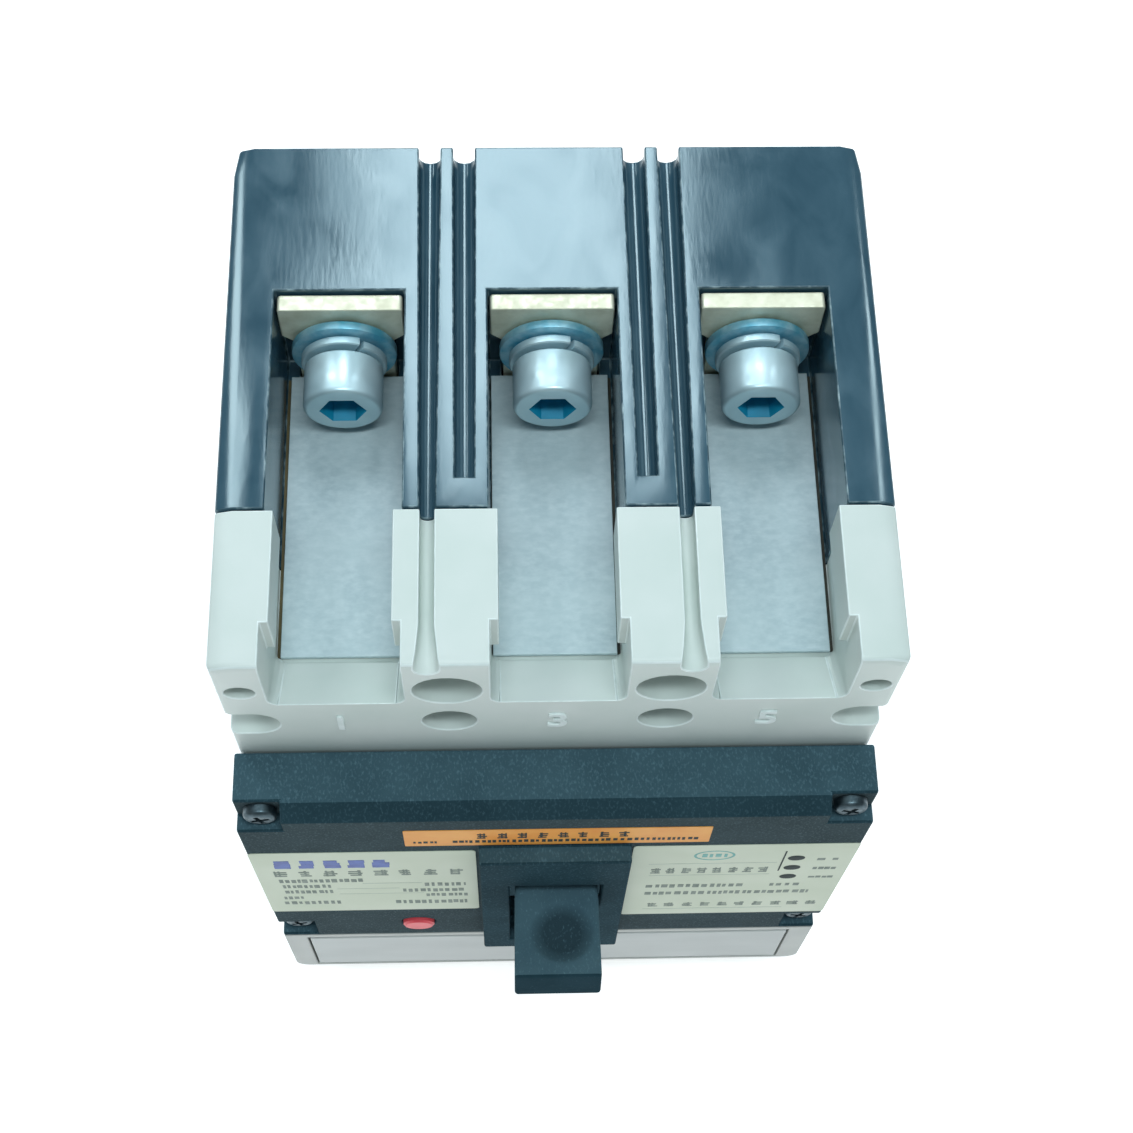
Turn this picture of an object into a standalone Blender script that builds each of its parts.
"""A three-pole molded case breaker, as an assembly of separate parts.

The breaker stands upright, the way it is mounted: +Z points to the line end, +X to the right when
facing it, and its front faces -Y. The origin is the centre of the flat back that is bolted to a panel.
Dimensions are in millimetres, and every mesh is scaled to metres when it is made.
"""

import math

import bmesh
import bpy

MM = 0.001
X, Y, Z = 0, 1, 2

# Case: outer size, and how far each level stands in front of the back
WIDTH = 107.0
HEIGHT = 165.0
HALF_WIDTH = WIDTH / 2
HALF_HEIGHT = HEIGHT / 2
EDGE_BEVEL = (2.8, 0.7)
BACK_TAPER = (5.0, 0.7)
SPLIT = -68.5
COVER_FACE = -95.0
FRONT_FACE = -107.0
BEZEL_FACE = -110.4
GAP = 0.3
FAR = 10.0

# Poles and pole chambers
POLE_PITCH = 35.0
POLES = (-POLE_PITCH, 0.0, POLE_PITCH)
ENDS = (1, -1)
SIDES = (-1, 1)
BOUNDARY = POLE_PITCH / 2
CHAMBER_HALF = 15.2
CHAMBER_END = 55.5
BACK_WALL = 5.0
INSIDE_HALF = 50.2

# Terminal pockets, and the plates that close them towards the arc chambers
POCKET_HALF = 10.7
POCKET_BACK = -28.4
POCKET_FLOOR = 59.7
LIP_HALF = 9.3
LIP_FRONT = -87.4
LIP_DEPTH = 72.1
RAMP_START = -85.2
RAMP_END = 66.8
RAMP_CORNER = 1.6
VENT_HALF = 8.5
VENT_PLATE_HALF = 10.15
VENT_PLATE_THICKNESS = 0.8
VENT_PLATE_SHIFTS = (0.25, -0.2, -0.25)

# Grooves between the poles, on both ends of the case
INNER_GROOVE = BOUNDARY - 3.0
OUTER_GROOVE = BOUNDARY + 2.85
GROOVE_DEPTH = 4.5
GROOVE_WIDTH_BACK = 3.7
INNER_GROOVE_WIDTH = 3.1
INNER_GROOVE_FRONT = -63.0
OUTER_GROOVE_WIDTH = 2.3

# Terminal hardware, for M8 screws
PAD_BACK = -28.7
PAD_THICKNESS = 3.0
PAD_FRONT = PAD_BACK - PAD_THICKNESS
PAD_HALF = 10.3
PAD_CORNER = 0.4
NECK_HALF = 8.2
PAD_END = HALF_HEIGHT - 1.0
SCREW_LEVEL = HALF_HEIGHT - 12.4
TERMINAL_HOLE_RADIUS = 4.2
WASHER_INNER = 4.3
WASHER_OUTER = 8.9
SPRING_WASHER_OUTER = 7.25
SPRING_WASHER_THICKNESS = 1.5
SPRING_WASHER_LIFT = 0.5
WASHER_FRONT = PAD_FRONT - GAP - 1.6
SPRING_WASHER_FRONT = WASHER_FRONT - GAP - 2.0
HEAD_BACK = SPRING_WASHER_FRONT - GAP
HEAD_FRONT = HEAD_BACK - 8.0
HEAD_RADIUS = 6.65
SHANK_RADIUS = 3.8
SHANK_TIP = -16.0
SOCKET_ACROSS_FLATS = 6.2
WELL_RADIUS = 4.6
WELL_BACK = -14.0

# Holes: (X, Z) places repeat in all four corners
MOUNTING_LEVEL = 72.0
MOUNTING_RADIUS = 3.1
MOUNTING_HEAD_RADIUS = 5.5
MOUNTING_SEAT = -78.0
CASE_SCREW_LEVEL = 58.3
CASE_SCREW_SEAT = -84.0
CASE_SCREW_HEAD_RADIUS = 4.45
CASE_SCREW_THREAD_RADIUS = 2.0
CASE_SCREW_HOLE_RADIUS = 2.2
SIDE_NOTCH_X = 49.3
SIDE_NOTCH_LEVEL = 58.0
SIDE_NOTCH_RADIUS = 4.5
SIDE_NOTCH_FLOOR = -87.0
SMALL_HOLE = (49.6, 72.1)
SMALL_HOLE_RADIUS = 2.45
SMALL_HOLE_FLOOR = -86.0

# Front cover and its bezel; both it and the trip unit's panel stand a little past the sides of the case
FRONT_HALF = 54.0
FRONT_TOP = 44.8
FRONT_BOTTOM = -35.85
FRONT_CHAMFER = 2.8
FRONT_WALL = 2.5
BEZEL_HALF = 13.3
BEZEL_TOP = 27.0
BEZEL_BOTTOM = -34.7
BEZEL_INSIDE_HALF = 10.8
OPENING_LEFT = -8.1
OPENING_RIGHT = 8.7
OPENING_TOP = 12.3
OPENING_BOTTOM = -28.5
RECESS_FLOOR = -103.9
UPPER_SCREW = (49.7, 41.2)
UPPER_RECESS = (46.2, 37.9)
LOWER_SCREW = (50.3, -30.0)
LOWER_RECESS = (46.9, -25.0)
LOWER_RECESS_RIM = 1.1
COVER_SCREW_HOLE = 1.7
BUTTON = (-26.2, -26.5)
BUTTON_RADIUS = 3.1

# Setting panel of the trip unit
PANEL_TOP = -36.2
PANEL_BOTTOM = -64.3
PANEL_CORNER = 3.0
PANEL_FLOOR = -102.0
WINDOW_HALF = 49.0
WINDOW_TOP = -39.3
WINDOW_BOTTOM = -61.6
WINDOW_FRONT = -106.9
WINDOW_BACK = -105.6
DIALS = {"current_dial": -30.0, "delay_dial": 0.0, "instantaneous_dial": 30.0}
DIAL_LEVEL = -50.5
DIAL_RADIUS = 4.6
DIAL_SHAFT_RADIUS = 2.1

# Moving parts: pivots are (Y, Z)
HANDLE_PIVOT = (-63.0, -8.0)
HANDLE_TILT = math.radians(11.2)
HANDLE_CENTRE = 0.5
HANDLE_TIP = 65.0
SHIELD_RADIUS = 42.4
SHIELD_THICKNESS = 1.4
SHIELD_HALF_ANGLE = math.radians(44.0)
HANDLE_PIN_RADIUS = 2.0
CROSSBAR_PIVOT = (-36.0, -8.0)
CROSSBAR_RADIUS = 7.0
CROSSBAR_HALF = 49.6
CRADLE_PIVOT = (-66.0, 10.0)
CRADLE_SIDES = (5.0, 7.0)
CRADLE_PIN_RADIUS = 1.5
TRIP_BAR_PIVOT = (-76.0, -34.0)
TRIP_BAR_HALF = 49.3
TRIP_BAR_JOURNAL = 3.8
TRIP_BAR_RADIUS = 2.6
TRIP_BAR_JOURNAL_RADIUS = 1.9
WINDOW_PIVOT = (-106.2, -40.0)

# Inside the case: contacts, arc chutes, the mechanism's side plates and the trip unit
ARM_HALF = 3.5
ARM_SLOT_HALF = 4.0
CHUTE_HALF = 12.6
CHUTE_THROAT_HALF = 5.2
CHUTE_THROAT_END = 47.0
CHUTE_LEVELS = (34.5, 54.5)
CHUTE_PLATES = 7
CHUTE_PITCH = 4.4
CHUTE_FRONT_PLATE = -38.2
CHUTE_PLATE_THICKNESS = 1.2
SIDE_PLATE_INSIDE = 12.0
SIDE_PLATE_OUTSIDE = 13.5
TIE_PINS = ((-82.0, 11.5), (-50.0, -21.5))
TIE_PIN_RADIUS = 1.6
MODULE_HALF = 49.8
MODULE_FRONT = -67.8
MODULE_BACK = -34.4
MODULE_BOTTOM = -55.2
MODULE_TOP = -26.4

MATERIALS = {
    "base_plastic": ((0.035, 0.05, 0.065), 0.25, 0.0),
    "cover_plastic": ((0.62, 0.68, 0.68), 0.45, 0.0),
    "front_plastic": ((0.025, 0.035, 0.042), 0.55, 0.0),
    "red_plastic": ((0.6, 0.05, 0.07), 0.4, 0.0),
    "panel_plastic": ((0.55, 0.6, 0.62), 0.4, 0.0),
    "clear_plastic": ((0.8, 0.88, 0.9), 0.1, 0.0),
    "dial_plastic": ((0.12, 0.2, 0.3), 0.4, 0.0),
    "insulator": ((0.3, 0.16, 0.08), 0.6, 0.0),
    "vent_board": ((0.4, 0.55, 0.6), 0.7, 0.0),
    "zinc": ((0.55, 0.62, 0.66), 0.25, 1.0),
    "tinned_copper": ((0.6, 0.52, 0.38), 0.35, 1.0),
    "copper": ((0.7, 0.35, 0.2), 0.3, 1.0),
    "spring_steel": ((0.35, 0.36, 0.38), 0.3, 1.0),
}


def material(name):
    """The named material, made the first time it is asked for."""
    found = bpy.data.materials.get(name)
    if found:
        return found
    colour, roughness, metallic = MATERIALS[name]
    made = bpy.data.materials.new(name)
    made.use_nodes = True
    shader = made.node_tree.nodes["Principled BSDF"]
    shader.inputs["Base Color"].default_value = (*colour, 1.0)
    shader.inputs["Roughness"].default_value = roughness
    shader.inputs["Metallic"].default_value = metallic
    return made


def skin(rings, wrap=False):
    """A closed solid over rings of points: capped at both ends, or wrapped round to the first ring."""
    count = len(rings[0])
    points = [[value * MM for value in point] for ring in rings for point in ring]
    pairs = len(rings) if wrap else len(rings) - 1
    faces = []
    for ring in range(pairs):
        here = ring * count
        there = (ring + 1) % len(rings) * count
        for i in range(count):
            j = (i + 1) % count
            faces.append((here + i, here + j, there + j, there + i))
    if not wrap:
        faces.append(tuple(range(count)))
        faces.append(tuple(range(len(points) - count, len(points))))
    mesh = bpy.data.meshes.new("solid")
    mesh.from_pydata(points, [], faces)
    shape = bmesh.new()
    shape.from_mesh(mesh)
    bmesh.ops.recalc_face_normals(shape, faces=shape.faces)
    shape.to_mesh(mesh)
    shape.free()
    solid = bpy.data.objects.new("solid", mesh)
    bpy.context.scene.collection.objects.link(solid)
    return solid


def ring_at(axis, along, outline):
    """The outline's points in X, Y, Z order, at one place along the axis."""
    ring = []
    for pair in outline:
        point = list(pair)
        point.insert(axis, along)
        ring.append(point)
    return ring


def loft(axis, sections):
    """A solid through (place along the axis, outline) sections with equally many points."""
    return skin([ring_at(axis, along, outline) for along, outline in sections])


def prism(axis, outline, start, end):
    return loft(axis, [(start, outline), (end, outline)])


def box(low, high):
    (x0, y0, z0), (x1, y1, z1) = low, high
    return prism(Z, [(x0, y0), (x1, y0), (x1, y1), (x0, y1)], z0, z1)


def circle(centre, radius, segments=24):
    step = 2 * math.pi / segments
    return [
        (centre[0] + radius * math.cos((i + 0.5) * step), centre[1] + radius * math.sin((i + 0.5) * step))
        for i in range(segments)
    ]


def turned(axis, centre, profile, segments=24):
    """A turned solid from (place along the axis, radius) pairs."""
    return loft(axis, [(along, circle(centre, radius, segments)) for along, radius in profile])


def cylinder(axis, centre, radius, start, end, segments=24):
    return turned(axis, centre, [(start, radius), (end, radius)], segments)


def tube(axis, centre, inner, outer, start, end, segments=24):
    """A ring such as a washer: four circles, wrapped."""
    profile = [(start, inner), (start, outer), (end, outer), (end, inner)]
    rings = [ring_at(axis, along, circle(centre, radius, segments)) for along, radius in profile]
    return skin(rings, wrap=True)


def coil(centre, radius, wire, start, end, turns, tilt=0.0):
    """A helical spring that runs along Y from its centre and leans towards Z by the tilt."""
    per_turn, sides = 10, 5
    steps = turns * per_turn
    rings = []
    for step in range(steps + 1):
        angle = 2 * math.pi * step / per_turn
        along = start + (end - start) * step / steps
        ring = []
        for side in range(sides):
            around = 2 * math.pi * side / sides
            out = radius + wire * math.cos(around)
            run = along + wire * math.sin(around)
            across = out * math.sin(angle)
            ring.append(
                (
                    centre[0] + out * math.cos(angle),
                    centre[1] + run * math.cos(tilt) + across * math.sin(tilt),
                    centre[2] - run * math.sin(tilt) + across * math.cos(tilt),
                )
            )
        rings.append(ring)
    return skin(rings)


def case_outline(inset_x=0.0, inset_z=0.0):
    """Outline of the case in X and Z: a rectangle whose ends fall away in a shallow bevel at the sides."""
    x, z = HALF_WIDTH - inset_x, HALF_HEIGHT - inset_z
    run, drop = EDGE_BEVEL
    corner = [(x, z - drop - 0.5), (x - 0.5, z - drop), (x - run, z)]
    top = corner + [(-a, b) for a, b in reversed(corner)]
    return top + [(-a, -b) for a, b in top]


def combine(solid, others, operation):
    """Joins the others to the solid, or cuts them from it, in one Boolean."""
    group = bpy.data.collections.new("operands")
    bpy.context.scene.collection.children.link(group)
    for other in others:
        group.objects.link(other)
    boolean = solid.modifiers.new(operation, "BOOLEAN")
    boolean.operation = operation
    boolean.operand_type = "COLLECTION"
    boolean.collection = group
    bpy.context.view_layer.update()
    graph = bpy.context.evaluated_depsgraph_get()
    result = bpy.data.meshes.new_from_object(solid.evaluated_get(graph))
    solid.modifiers.clear()
    solid.data = result
    for other in others:
        bpy.data.objects.remove(other)
    bpy.data.collections.remove(group)
    return solid


def join(solid, *others):
    return combine(solid, others, "UNION")


def cut(solid, *others):
    return combine(solid, others, "DIFFERENCE")


def finish(solid, name, look, pivot=(0, 0, 0)):
    """Names the solid, puts its origin at its pivot, and gives it its material and smooth shading."""
    offset = [value * MM for value in pivot]
    for vertex in solid.data.vertices:
        for i in range(3):
            vertex.co[i] -= offset[i]
    solid.location = offset
    solid.name = solid.data.name = name
    solid.data.materials.clear()
    solid.data.materials.append(material(look))
    solid.data.shade_smooth()
    solid.data.set_sharp_from_angle(angle=math.radians(35))
    return solid


def u_groove(centre, width, depth, end):
    """Outline in X and Z of a round-bottomed groove in one end of the case."""
    radius = width / 2
    middle = HALF_HEIGHT - depth + radius
    points = [(centre - radius, end * (HALF_HEIGHT + FAR))]
    for step in range(7):
        angle = math.pi * (1 + step / 6)
        points.append((centre + radius * math.cos(angle), end * (middle + radius * math.sin(angle))))
    points.append((centre + radius, end * (HALF_HEIGHT + FAR)))
    return points


def panel_corners(level):
    """The four (X, Z) places at the pole boundaries, at one distance from the middle."""
    return [(side * BOUNDARY, end * level) for side in SIDES for end in ENDS]


def make_base_case():
    front = SPLIT + GAP
    beyond = front - FAR
    taper_end, taper = BACK_TAPER
    base = loft(Y, [(0, case_outline(taper)), (-taper_end, case_outline()), (front, case_outline())])
    cutters = []
    for pole in POLES:
        chamber_low = (pole - CHAMBER_HALF, beyond, -CHAMBER_END)
        cutters.append(box(chamber_low, (pole + CHAMBER_HALF, -BACK_WALL, CHAMBER_END)))
        for end in ENDS:
            past = end * (HALF_HEIGHT + FAR)
            pocket_low = (pole - POCKET_HALF, beyond, end * POCKET_FLOOR)
            cutters.append(box(pocket_low, (pole + POCKET_HALF, POCKET_BACK, past)))
            slot_front = beyond if end > 0 else PAD_FRONT - 2
            slot_low = (pole - VENT_HALF, slot_front, end * (CHAMBER_END - 1))
            cutters.append(box(slot_low, (pole + VENT_HALF, POCKET_BACK, end * (POCKET_FLOOR + 1))))
            screw_centre = (pole, end * SCREW_LEVEL)
            cutters.append(cylinder(Y, screw_centre, WELL_RADIUS, POCKET_BACK - 1, WELL_BACK, 16))
    grooves = (
        (INNER_GROOVE, INNER_GROOVE_WIDTH, INNER_GROOVE_FRONT),
        (OUTER_GROOVE, OUTER_GROOVE_WIDTH, beyond),
    )
    for side in SIDES:
        for end in ENDS:
            for centre, width, groove_front in grooves:
                at_back = u_groove(side * centre, GROOVE_WIDTH_BACK, GROOVE_DEPTH, end)
                at_front = u_groove(side * centre, width, GROOVE_DEPTH, end)
                cutters.append(loft(Y, [(1, at_back), (groove_front, at_front)]))
    for place in panel_corners(MOUNTING_LEVEL):
        cutters.append(cylinder(Y, place, MOUNTING_RADIUS, 1, beyond, 16))
    for place in panel_corners(CASE_SCREW_LEVEL):
        cutters.append(cylinder(Y, place, CASE_SCREW_THREAD_RADIUS, -50, beyond, 12))
    # The crossbar's seat in the partitions, and the bay of the trip unit
    cutters.append(box((-INSIDE_HALF, beyond, -17), (INSIDE_HALF, -27, 1)))
    cutters.append(box((-INSIDE_HALF, beyond, -CHAMBER_END), (INSIDE_HALF, -34, -26)))
    finish(cut(base, *cutters), "base_case", "base_plastic")


def pocket_cutters(pole, end):
    """The two spaces of a terminal pocket in the cover: between its lips, and behind and before them."""
    inside = SPLIT + FAR
    beyond = COVER_FACE - 1
    ramp = RAMP_END + (RAMP_END - POCKET_FLOOR) / (RAMP_START - COVER_FACE)
    past = HALF_HEIGHT + FAR
    floor = [(inside, POCKET_FLOOR), (RAMP_START, POCKET_FLOOR), (beyond, ramp)]
    narrow = floor + [(beyond, past), (inside, past)]
    wide = floor + [(beyond, past), (LIP_FRONT, past), (LIP_FRONT, LIP_DEPTH), (inside, LIP_DEPTH)]
    narrow_space = prism(X, [(y, end * z) for y, z in narrow], pole - LIP_HALF, pole + LIP_HALF)
    wide_space = prism(X, [(y, end * z) for y, z in wide], pole - POCKET_HALF, pole + POCKET_HALF)
    round_ramp_corners(wide_space, pole, end)
    return [narrow_space, wide_space]


def round_ramp_corners(space, pole, end):
    """Rounds the corners between a pocket's ramp and its side walls."""
    shape = bmesh.new()
    shape.from_mesh(space.data)
    edges = []
    for edge in shape.edges:
        first, second = (vertex.co / MM for vertex in edge.verts)
        on_side = abs(first.x - second.x) < GAP and abs(first.x - pole) > LIP_HALF
        highest = max(end * first.z, end * second.z)
        on_ramp = max(first.y, second.y) < RAMP_START + GAP and highest < LIP_DEPTH - 1
        if on_side and on_ramp:
            edges.append(edge)
    rounding = {"offset": RAMP_CORNER * MM, "segments": 3, "profile": 0.5, "affect": "EDGES"}
    bmesh.ops.bevel(shape, geom=edges, **rounding)
    shape.to_mesh(space.data)
    shape.free()


def make_mid_cover():
    rounding = ((SPLIT, 0), (COVER_FACE + 1.2, 0), (COVER_FACE + 0.35, 0.35), (COVER_FACE, 1.2))
    cover = loft(Y, [(y, case_outline(inset, inset)) for y, inset in rounding])
    inside = SPLIT + FAR
    beyond = COVER_FACE - FAR
    cutters = [
        box((-INSIDE_HALF, inside, -51.5), (INSIDE_HALF, -92, 51.5)),
        box((-16, inside, -42), (16, beyond, 26)),
        cylinder(Y, BUTTON, 2.4, inside, beyond, 12),
    ]
    for pole in POLES:
        for end in ENDS:
            cutters += pocket_cutters(pole, end)
    for side in SIDES:
        for end in ENDS:
            groove = side * OUTER_GROOVE
            sections = [
                (inside, u_groove(groove, OUTER_GROOVE_WIDTH, GROOVE_DEPTH, end)),
                (-88, u_groove(groove, OUTER_GROOVE_WIDTH, 3.8, end)),
                (-92.5, u_groove(groove, 3.2, 3.4, end)),
                (beyond, u_groove(groove, 7.2, 3.6, end)),
            ]
            cutters.append(loft(Y, sections))
            small = (side * SMALL_HOLE[0], end * SMALL_HOLE[1])
            cutters.append(cylinder(Y, small, SMALL_HOLE_RADIUS, SMALL_HOLE_FLOOR, beyond, 16))
        notch = (side * SIDE_NOTCH_X, SIDE_NOTCH_LEVEL)
        cutters.append(cylinder(Y, notch, SIDE_NOTCH_RADIUS, SIDE_NOTCH_FLOOR, beyond))
        # A hair less than the radius, so that its sides meet the round end inside its facets
        half_notch = SIDE_NOTCH_RADIUS - 0.04
        low = (notch[0], beyond, notch[1] - half_notch)
        high = (side * (HALF_WIDTH + FAR), SIDE_NOTCH_FLOOR, notch[1] + half_notch)
        cutters.append(box(low, high))
        for x, level in (UPPER_SCREW, LOWER_SCREW):
            cutters.append(cylinder(Y, (side * x, level), COVER_SCREW_HOLE, inside, beyond, 12))
    for place in panel_corners(MOUNTING_LEVEL):
        cutters.append(cylinder(Y, place, MOUNTING_HEAD_RADIUS, MOUNTING_SEAT, beyond))
        cutters.append(cylinder(Y, place, MOUNTING_RADIUS, inside, beyond, 16))
    for place in panel_corners(CASE_SCREW_LEVEL):
        cutters.append(cylinder(Y, place, CASE_SCREW_HEAD_RADIUS, CASE_SCREW_SEAT, beyond))
        cutters.append(cylinder(Y, place, CASE_SCREW_HOLE_RADIUS, inside, beyond, 12))
    finish(cut(cover, *cutters), "mid_cover", "cover_plastic")


def make_front_cover():
    back = COVER_FACE - GAP
    shoulder = FRONT_FACE + FRONT_CHAMFER
    side_view = [
        (back, FRONT_BOTTOM),
        (back, FRONT_TOP),
        (shoulder, FRONT_TOP),
        (FRONT_FACE, FRONT_TOP - FRONT_CHAMFER),
        (FRONT_FACE, FRONT_BOTTOM),
    ]
    cover = prism(X, side_view, -FRONT_HALF, FRONT_HALF)
    bezel_view = [
        (FRONT_FACE + 1, BEZEL_BOTTOM),
        (FRONT_FACE + 1, BEZEL_TOP),
        (BEZEL_FACE, BEZEL_TOP),
        (BEZEL_FACE, BEZEL_BOTTOM),
    ]
    cover = join(cover, prism(X, bezel_view, -BEZEL_HALF, BEZEL_HALF))
    inside = back + FAR
    inner_face = FRONT_FACE + FRONT_WALL
    beyond = BEZEL_FACE - FAR
    bezel_inside = BEZEL_INSIDE_HALF
    cutters = [
        box((-44.4, inside, FRONT_BOTTOM + 2.4), (44.4, inner_face, FRONT_TOP - 2.8)),
        box((-51.0, inside, -22), (51.0, inner_face, 33)),
        box((-bezel_inside, inside, BEZEL_BOTTOM + 2.7), (bezel_inside, BEZEL_FACE + 2.5, BEZEL_TOP - 2.5)),
        box((-bezel_inside, inside, FRONT_BOTTOM - 1), (bezel_inside, back - 5, BEZEL_BOTTOM + 3)),
        box((OPENING_LEFT, inside, OPENING_BOTTOM), (OPENING_RIGHT, beyond, OPENING_TOP)),
        cylinder(Y, BUTTON, BUTTON_RADIUS + GAP, inside, beyond),
    ]
    for side in SIDES:
        edge = side * (FRONT_HALF + FAR)
        x, z = UPPER_RECESS
        cutters.append(box((side * x, beyond, z), (edge, RECESS_FLOOR, FRONT_TOP + FAR)))
        x, z = LOWER_RECESS
        cutters.append(box((side * x, beyond, FRONT_BOTTOM + LOWER_RECESS_RIM), (edge, RECESS_FLOOR, z)))
        for x, level in (UPPER_SCREW, LOWER_SCREW):
            cutters.append(cylinder(Y, (side * x, level), COVER_SCREW_HOLE, inside, beyond, 12))
    finish(cut(cover, *cutters), "front_cover", "front_plastic")


def make_terminal(name, pole, end):
    """A flat bar: the pad in its pocket, and the strap that runs in under the contacts or the trip unit."""
    inner_end = 34.0 if end > 0 else 20.0
    half = [
        (PAD_HALF - PAD_CORNER, PAD_END),
        (PAD_HALF, PAD_END - PAD_CORNER),
        (PAD_HALF, PAD_END - 8),
        (NECK_HALF, PAD_END - 10),
        (NECK_HALF, inner_end),
    ]
    outline = half + [(-x, z) for x, z in reversed(half)]
    outline = [(pole + x, end * z) for x, z in outline]
    bar = prism(Y, outline, PAD_BACK, PAD_FRONT)
    if end > 0:
        bar = join(bar, box((pole - 4, PAD_FRONT - 2.3, 36), (pole + 4, PAD_FRONT + 1, 44)))
    screw_centre = (pole, end * SCREW_LEVEL)
    cut(bar, cylinder(Y, screw_centre, TERMINAL_HOLE_RADIUS, PAD_BACK + 1, PAD_FRONT - 1, 16))
    finish(bar, name, "tinned_copper")


def make_cap_screw(name, centre):
    profile = [
        (SHANK_TIP, SHANK_RADIUS - 0.5),
        (SHANK_TIP - 0.8, SHANK_RADIUS),
        (HEAD_BACK, SHANK_RADIUS),
        (HEAD_BACK, HEAD_RADIUS),
        (HEAD_FRONT + 0.6, HEAD_RADIUS),
        (HEAD_FRONT, HEAD_RADIUS - 0.6),
    ]
    screw = turned(Y, centre, profile)
    socket_radius = SOCKET_ACROSS_FLATS / 2 / math.cos(math.pi / 6)
    socket = cylinder(Y, centre, socket_radius, HEAD_FRONT + 4.5, HEAD_FRONT - 1, 6)
    finish(cut(screw, socket), name, "zinc")


def make_spring_washer(name, centre):
    """A split ring whose two ends stand apart along the screw."""
    steps = 24
    back = SPRING_WASHER_FRONT + SPRING_WASHER_THICKNESS + SPRING_WASHER_LIFT
    section = (
        (WASHER_INNER, 0),
        (SPRING_WASHER_OUTER, 0),
        (SPRING_WASHER_OUTER, -SPRING_WASHER_THICKNESS),
        (WASHER_INNER, -SPRING_WASHER_THICKNESS),
    )
    gap_angle = math.radians(7)
    rings = []
    for step in range(steps + 1):
        angle = -math.pi / 3 + gap_angle + (2 * math.pi - 2 * gap_angle) * step / steps
        level = back - SPRING_WASHER_LIFT * step / steps
        ring = []
        for radius, along in section:
            x = centre[0] + radius * math.cos(angle)
            z = centre[1] + radius * math.sin(angle)
            ring.append((x, level + along, z))
        rings.append(ring)
    finish(skin(rings), name, "zinc")


def make_terminals():
    for number, pole in enumerate(POLES):
        for end, label, first in ((1, "line", 1), (-1, "load", 2)):
            tag = f"{label}_{{}}_{first + 2 * number}"
            centre = (pole, end * SCREW_LEVEL)
            make_terminal(tag.format("terminal"), pole, end)
            make_cap_screw(tag.format("screw"), centre)
            washer = tube(Y, centre, WASHER_INNER, WASHER_OUTER, PAD_FRONT - GAP, WASHER_FRONT)
            finish(washer, tag.format("washer"), "zinc")
            make_spring_washer(tag.format("spring_washer"), centre)


def make_vent_plates():
    near = POCKET_FLOOR + GAP
    for number, (pole, shift) in enumerate(zip(POLES, VENT_PLATE_SHIFTS)):
        low = (pole + shift - VENT_PLATE_HALF, -84.6, near)
        high = (pole + shift + VENT_PLATE_HALF, -32.3, near + VENT_PLATE_THICKNESS)
        plate = box(low, high)
        finish(plate, f"vent_plate_{1 + 2 * number}", "vent_board")


def make_contact_system():
    """The crossbar, the three moving arms it carries, and the arc chutes round their tips."""
    centre_y, centre_z = CROSSBAR_PIVOT
    bar = cylinder(X, CROSSBAR_PIVOT, CROSSBAR_RADIUS, -CROSSBAR_HALF, CROSSBAR_HALF, 20)
    windows = []
    for pole in POLES:
        low = (pole - ARM_SLOT_HALF, centre_y - 2 * CROSSBAR_RADIUS, centre_z - 2 * CROSSBAR_RADIUS)
        windows.append(box(low, (pole + ARM_SLOT_HALF, centre_y + 2.5, centre_z + 2 * CROSSBAR_RADIUS)))
    pivot = (0, *CROSSBAR_PIVOT)
    finish(cut(bar, *windows), "crossbar", "insulator", pivot)
    arm_view = [
        (-34.1, -14.0),
        (-34.1, 2.0),
        (-36.8, 9.0),
        (-36.8, 35.5),
        (-34.3, 36.5),
        (-34.3, 43.5),
        (-36.8, 44.5),
        (-41.0, 45.5),
        (-42.2, 40.0),
        (-42.8, 6.0),
        (-42.8, -14.0),
    ]
    near, far = CHUTE_LEVELS
    for number, pole in enumerate(POLES):
        label = 1 + 2 * number
        arm = prism(X, arm_view, pole - ARM_HALF, pole + ARM_HALF)
        finish(arm, f"contact_arm_{label}", "copper", pivot)
        plate_view = [
            (pole - CHUTE_HALF, far),
            (pole + CHUTE_HALF, far),
            (pole + CHUTE_HALF, near),
            (pole + CHUTE_THROAT_HALF, near),
            (pole + CHUTE_THROAT_HALF, CHUTE_THROAT_END),
            (pole - CHUTE_THROAT_HALF, CHUTE_THROAT_END),
            (pole - CHUTE_THROAT_HALF, near),
            (pole - CHUTE_HALF, near),
        ]
        plates = []
        for plate in range(CHUTE_PLATES):
            start = CHUTE_FRONT_PLATE - CHUTE_PITCH * plate
            plates.append(prism(Y, plate_view, start, start - CHUTE_PLATE_THICKNESS))
        for side in SIDES:
            inner, outer = sorted((pole + side * (CHUTE_HALF - 0.2), pole + side * (CHUTE_HALF + 1.2)))
            plates.append(box((inner, -67.2, near - 0.6), (outer, -37.6, far + 0.6)))
        chute = plates.pop()
        finish(join(chute, *plates), f"arc_chute_{label}", "spring_steel")


def handle_outline(pairs):
    """(Y, Z) points from (distance from the pivot, offset across) pairs, in the handle's rest position."""
    cosine, sine = math.cos(HANDLE_TILT), math.sin(HANDLE_TILT)
    return [
        (
            HANDLE_PIVOT[0] - along * cosine + across * sine,
            HANDLE_PIVOT[1] + along * sine + across * cosine,
        )
        for along, across in pairs
    ]


def handle_block(start, end, half_x, half_across):
    pairs = [(start, -half_across), (start, half_across), (end, half_across), (end, -half_across)]
    return prism(X, handle_outline(pairs), HANDLE_CENTRE - half_x, HANDLE_CENTRE + half_x)


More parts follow.
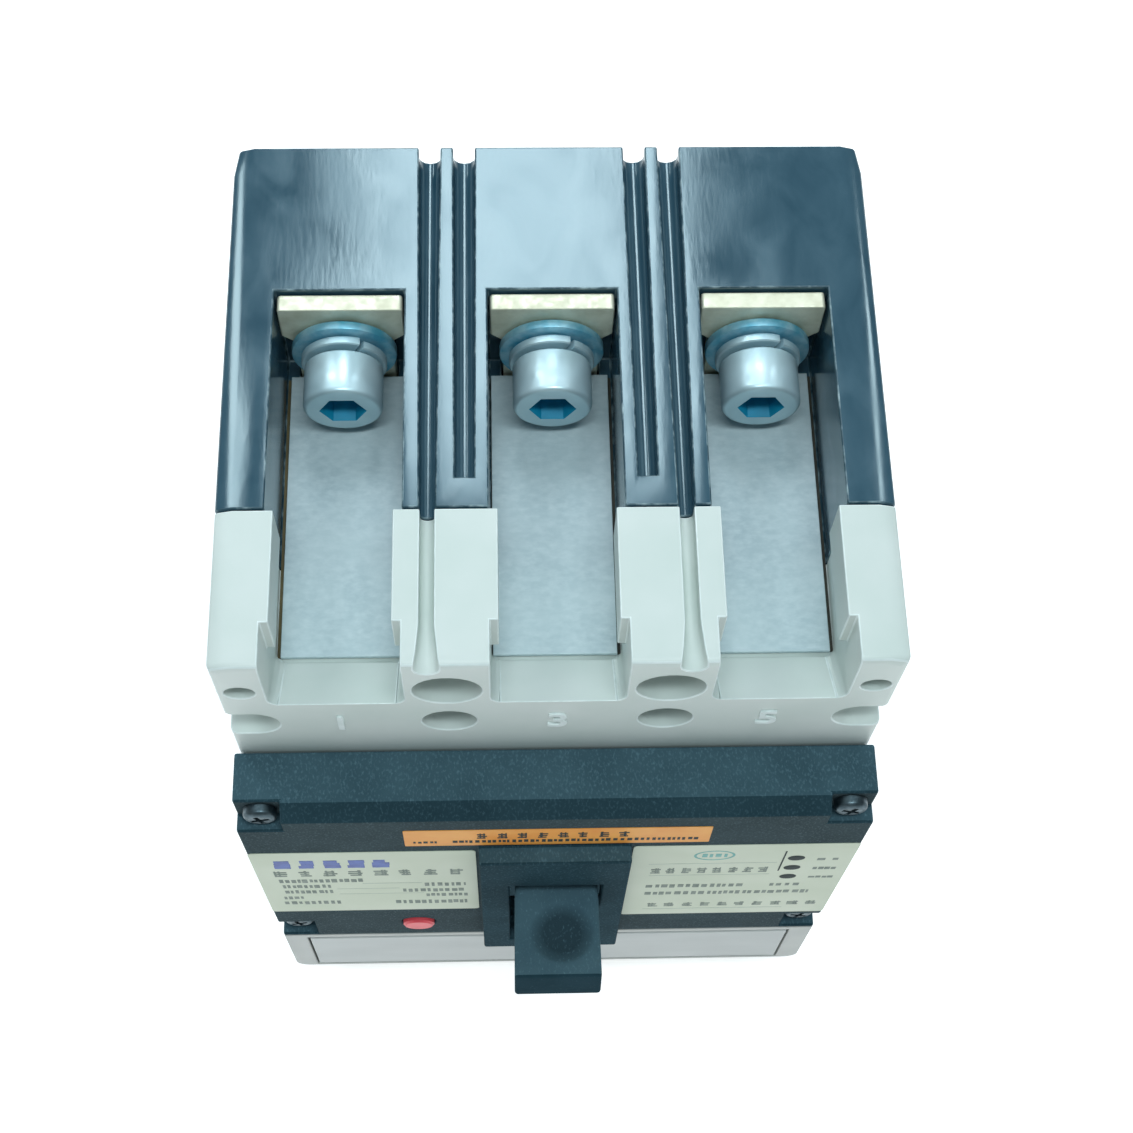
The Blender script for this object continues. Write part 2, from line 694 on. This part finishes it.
def make_handle():
    pivot = (0, *HANDLE_PIVOT)
    rings = []
    sections = [
        (SHIELD_RADIUS + 0.5, 7.5, 5.1),
        (49.0, 7.65, 4.95),
        (58.0, 7.8, 4.35),
        (HANDLE_TIP - 0.7, 7.85, 4.05),
        (HANDLE_TIP, 7.15, 3.4),
    ]
    corner = 0.9
    for along, half_x, half_across in sections:
        outline = [
            (half_x, half_across - corner),
            (half_x - corner, half_across),
            (corner - half_x, half_across),
            (-half_x, half_across - corner),
            (-half_x, corner - half_across),
            (corner - half_x, -half_across),
            (half_x - corner, -half_across),
            (half_x, corner - half_across),
        ]
        ring = []
        for x, across in outline:
            ((y, z),) = handle_outline([(along, across)])
            ring.append((HANDLE_CENTRE + x, y, z))
        rings.append(ring)
    grip = join(skin(rings), handle_block(38.3, SHIELD_RADIUS + 1.5, 5.0, 3.2))
    finish(grip, "toggle_handle", "front_plastic", pivot)

    arcs = []
    for radius, direction in ((SHIELD_RADIUS, 1), (SHIELD_RADIUS - SHIELD_THICKNESS, -1)):
        for step in range(-8, 9):
            angle = SHIELD_HALF_ANGLE * direction * step / 8
            arcs.append((radius * math.cos(angle), radius * math.sin(angle)))
    shield = prism(X, handle_outline(arcs), -10.0, 10.0)
    cut(shield, handle_block(SHIELD_RADIUS - 5, SHIELD_RADIUS + 5, 5.4, 3.6))
    finish(shield, "dust_shield", "front_plastic", pivot)

    yoke = handle_block(-5, 38.0, 10.5, 4.5)
    cut(yoke, handle_block(-8, 36.2, 9.0, 6.0), cylinder(X, HANDLE_PIVOT, HANDLE_PIN_RADIUS + GAP, -20, 20, 16))
    finish(yoke, "handle_yoke", "spring_steel", pivot)

    centre = (HANDLE_CENTRE, *HANDLE_PIVOT)
    spring = coil(centre, 2.4, 0.5, -9.0, -35.2, 7, HANDLE_TILT)
    finish(spring, "main_spring", "spring_steel", pivot)


def make_mechanism():
    side_view = [
        (-86.0, -25.0),
        (-86.0, 14.0),
        (-5.4, 14.0),
        (-5.4, 2.0),
        (-46.0, 2.0),
        (-46.0, -18.0),
        (-5.4, -18.0),
        (-5.4, -25.0),
    ]
    frame = prism(X, side_view, -SIDE_PLATE_OUTSIDE, -SIDE_PLATE_INSIDE)
    others = [prism(X, side_view, SIDE_PLATE_INSIDE, SIDE_PLATE_OUTSIDE)]
    in_plate = (SIDE_PLATE_INSIDE + SIDE_PLATE_OUTSIDE) / 2
    for side in SIDES:
        others.append(cylinder(X, HANDLE_PIVOT, HANDLE_PIN_RADIUS, side * in_plate, side * 8.7, 16))
    cradle_inside, cradle_outside = CRADLE_SIDES
    others.append(cylinder(X, CRADLE_PIVOT, CRADLE_PIN_RADIUS, in_plate, cradle_inside - 0.6, 12))
    for tie in TIE_PINS:
        others.append(cylinder(X, tie, TIE_PIN_RADIUS, -in_plate, in_plate, 12))
    finish(join(frame, *others), "mechanism_frame", "zinc")

    cradle_view = [
        (-63.5, 12.5),
        (-68.5, 12.5),
        (-72.5, -8.0),
        (-78.0, -28.9),
        (-74.5, -28.9),
        (-67.0, -8.0),
    ]
    cradle = prism(X, cradle_view, cradle_inside, cradle_outside)
    bore_radius = CRADLE_PIN_RADIUS + GAP
    cut(cradle, cylinder(X, CRADLE_PIVOT, bore_radius, cradle_inside - 1, cradle_outside + 1, 12))
    finish(cradle, "latch_cradle", "spring_steel", (0, *CRADLE_PIVOT))


def make_trip_unit():
    module = box((-MODULE_HALF, MODULE_FRONT, MODULE_BOTTOM), (MODULE_HALF, MODULE_BACK, MODULE_TOP))
    posts = []
    for side in SIDES:
        inner, outer = sorted((side * 46.0, side * 49.0))
        posts.append(box((inner, -80.0, -38.0), (outer, -66.0, -30.0)))
    module = join(module, *posts)
    holes = [cylinder(X, TRIP_BAR_PIVOT, TRIP_BAR_JOURNAL_RADIUS + GAP, -60, 60, 16)]
    for pole in POLES:
        holes.append(box((pole - 11, -80, -50), (pole + 11, -45, -40)))
    finish(cut(module, *holes), "trip_unit_module", "insulator")

    bar_y, bar_z = TRIP_BAR_PIVOT
    journal_start = TRIP_BAR_HALF - TRIP_BAR_JOURNAL
    half_profile = [
        (journal_start, TRIP_BAR_RADIUS),
        (journal_start, TRIP_BAR_JOURNAL_RADIUS),
        (TRIP_BAR_HALF, TRIP_BAR_JOURNAL_RADIUS),
    ]
    profile = [(-along, radius) for along, radius in reversed(half_profile)] + half_profile
    bar = turned(X, TRIP_BAR_PIVOT, profile, 12)
    face = bar_y - 1.2
    paddles = [
        box((BUTTON[0] - 2, face, bar_z), (BUTTON[0] + 2, face + 2.2, bar_z + 8.8)),
        box((4.6, face, bar_z), (7.4, face + 2.2, bar_z + 4.6)),
    ]
    for pole in POLES:
        paddles.append(box((pole - 3, face, bar_z - 8.5), (pole + 3, face + 2.2, bar_z)))
    finish(join(bar, *paddles), "trip_bar", "insulator", (0, bar_y, bar_z))

    inner_face = FRONT_FACE + FRONT_WALL
    profile = [
        (FRONT_FACE - 0.8, BUTTON_RADIUS - 0.4),
        (FRONT_FACE - 0.4, BUTTON_RADIUS),
        (inner_face + GAP, BUTTON_RADIUS),
        (inner_face + GAP, BUTTON_RADIUS + 1.1),
        (inner_face + GAP + 1.0, BUTTON_RADIUS + 1.1),
        (inner_face + GAP + 1.0, 1.7),
        (face - 0.6, 1.7),
    ]
    button_at = (BUTTON[0], 0, BUTTON[1])
    finish(turned(Y, BUTTON, profile), "trip_button", "red_plastic", button_at)
    spring = coil(button_at, 3.1, 0.35, inner_face + GAP + 1.8, COVER_FACE - 0.8, 4)
    finish(spring, "trip_button_spring", "spring_steel", button_at)


def panel_outline(bottom):
    """Outline in X and Z of the setting panel, rounded at its two lower corners."""
    points = [(FRONT_HALF, PANEL_TOP), (-FRONT_HALF, PANEL_TOP)]
    middle = FRONT_HALF - PANEL_CORNER
    for side, quarter in ((-1, 2), (1, 3)):
        for step in range(5):
            angle = math.pi / 2 * (quarter + step / 4)
            x = side * middle + PANEL_CORNER * math.cos(angle)
            points.append((x, bottom + PANEL_CORNER * (1 + math.sin(angle))))
    return points


def make_setting_panel():
    back = COVER_FACE - GAP
    inside = back + FAR
    beyond = FRONT_FACE - FAR
    sections = [
        (back, panel_outline(PANEL_BOTTOM)),
        (FRONT_FACE + FRONT_CHAMFER, panel_outline(PANEL_BOTTOM)),
        (FRONT_FACE, panel_outline(PANEL_BOTTOM + 1.0)),
    ]
    panel = loft(Y, sections)
    window_well = (WINDOW_HALF + 0.5, PANEL_FLOOR, WINDOW_TOP + 1.0)
    cutters = [
        box((-50.5, inside, PANEL_BOTTOM + 2.2), (50.5, PANEL_FLOOR + 2.4, PANEL_TOP - 2.2)),
        box((-WINDOW_HALF - 0.5, beyond, WINDOW_BOTTOM - 0.4), window_well),
    ]
    for x in DIALS.values():
        cutters.append(cylinder(Y, (x, DIAL_LEVEL), DIAL_SHAFT_RADIUS + GAP, inside, beyond, 16))
    finish(cut(panel, *cutters), "trip_unit_panel", "panel_plastic")

    low = (-WINDOW_HALF, WINDOW_FRONT, WINDOW_BOTTOM)
    window = box(low, (WINDOW_HALF, WINDOW_BACK, WINDOW_TOP - 0.9))
    window = join(window, cylinder(X, WINDOW_PIVOT, 0.75, -WINDOW_HALF, WINDOW_HALF, 12))
    finish(window, "trip_unit_window", "clear_plastic", (0, *WINDOW_PIVOT))

    dial_back = PANEL_FLOOR - GAP
    profile = [
        (dial_back - 2.5, DIAL_RADIUS - 0.3),
        (dial_back - 2.2, DIAL_RADIUS),
        (dial_back, DIAL_RADIUS),
        (dial_back, DIAL_SHAFT_RADIUS),
        (dial_back + 4.8, DIAL_SHAFT_RADIUS),
    ]
    for name, x in DIALS.items():
        dial = turned(Y, (x, DIAL_LEVEL), profile)
        low = (x - 0.6, beyond, DIAL_LEVEL - 0.75 * DIAL_RADIUS)
        slot = box(low, (x + 0.6, dial_back - 1.7, DIAL_LEVEL + 0.75 * DIAL_RADIUS))
        finish(cut(dial, slot), name, "dial_plastic", (x, 0, DIAL_LEVEL))


def make_crosshead_screw(name, centre, seat, head_radius, head_height, shank_radius, tip):
    profile = [
        (tip, shank_radius),
        (seat, shank_radius),
        (seat, head_radius),
        (seat - 0.6 * head_height, head_radius),
        (seat - head_height, 0.7 * head_radius),
    ]
    screw = turned(Y, centre, profile, 16)
    reach, wing = 0.62 * head_radius, 0.14 * head_radius
    front, bottom = seat - head_height - 1, seat - 0.35 * head_height
    slots = []
    for half_x, half_z in ((reach, wing), (wing, reach)):
        low = (centre[0] - half_x, front, centre[1] - half_z)
        slots.append(box(low, (centre[0] + half_x, bottom, centre[1] + half_z)))
    finish(cut(screw, *slots), name, "zinc")


def make_fasteners():
    for side, hand in ((-1, "left"), (1, "right")):
        for (x, level), place in ((UPPER_SCREW, "upper"), (LOWER_SCREW, "lower")):
            name = f"cover_screw_{place}_{hand}"
            seat = RECESS_FLOOR - GAP
            make_crosshead_screw(name, (side * x, level), seat, 2.9, 1.9, 1.3, -91.0)
        for end, place in ((1, "line"), (-1, "load")):
            centre = (side * BOUNDARY, end * CASE_SCREW_LEVEL)
            name = f"case_screw_{place}_{hand}"
            make_crosshead_screw(name, centre, CASE_SCREW_SEAT - GAP, 3.7, 2.8, 1.7, -52.0)


def main():
    for obj in list(bpy.data.objects):
        bpy.data.objects.remove(obj)
    make_base_case()
    make_mid_cover()
    make_front_cover()
    make_terminals()
    make_vent_plates()
    make_contact_system()
    make_handle()
    make_mechanism()
    make_trip_unit()
    make_setting_panel()
    make_fasteners()


main()
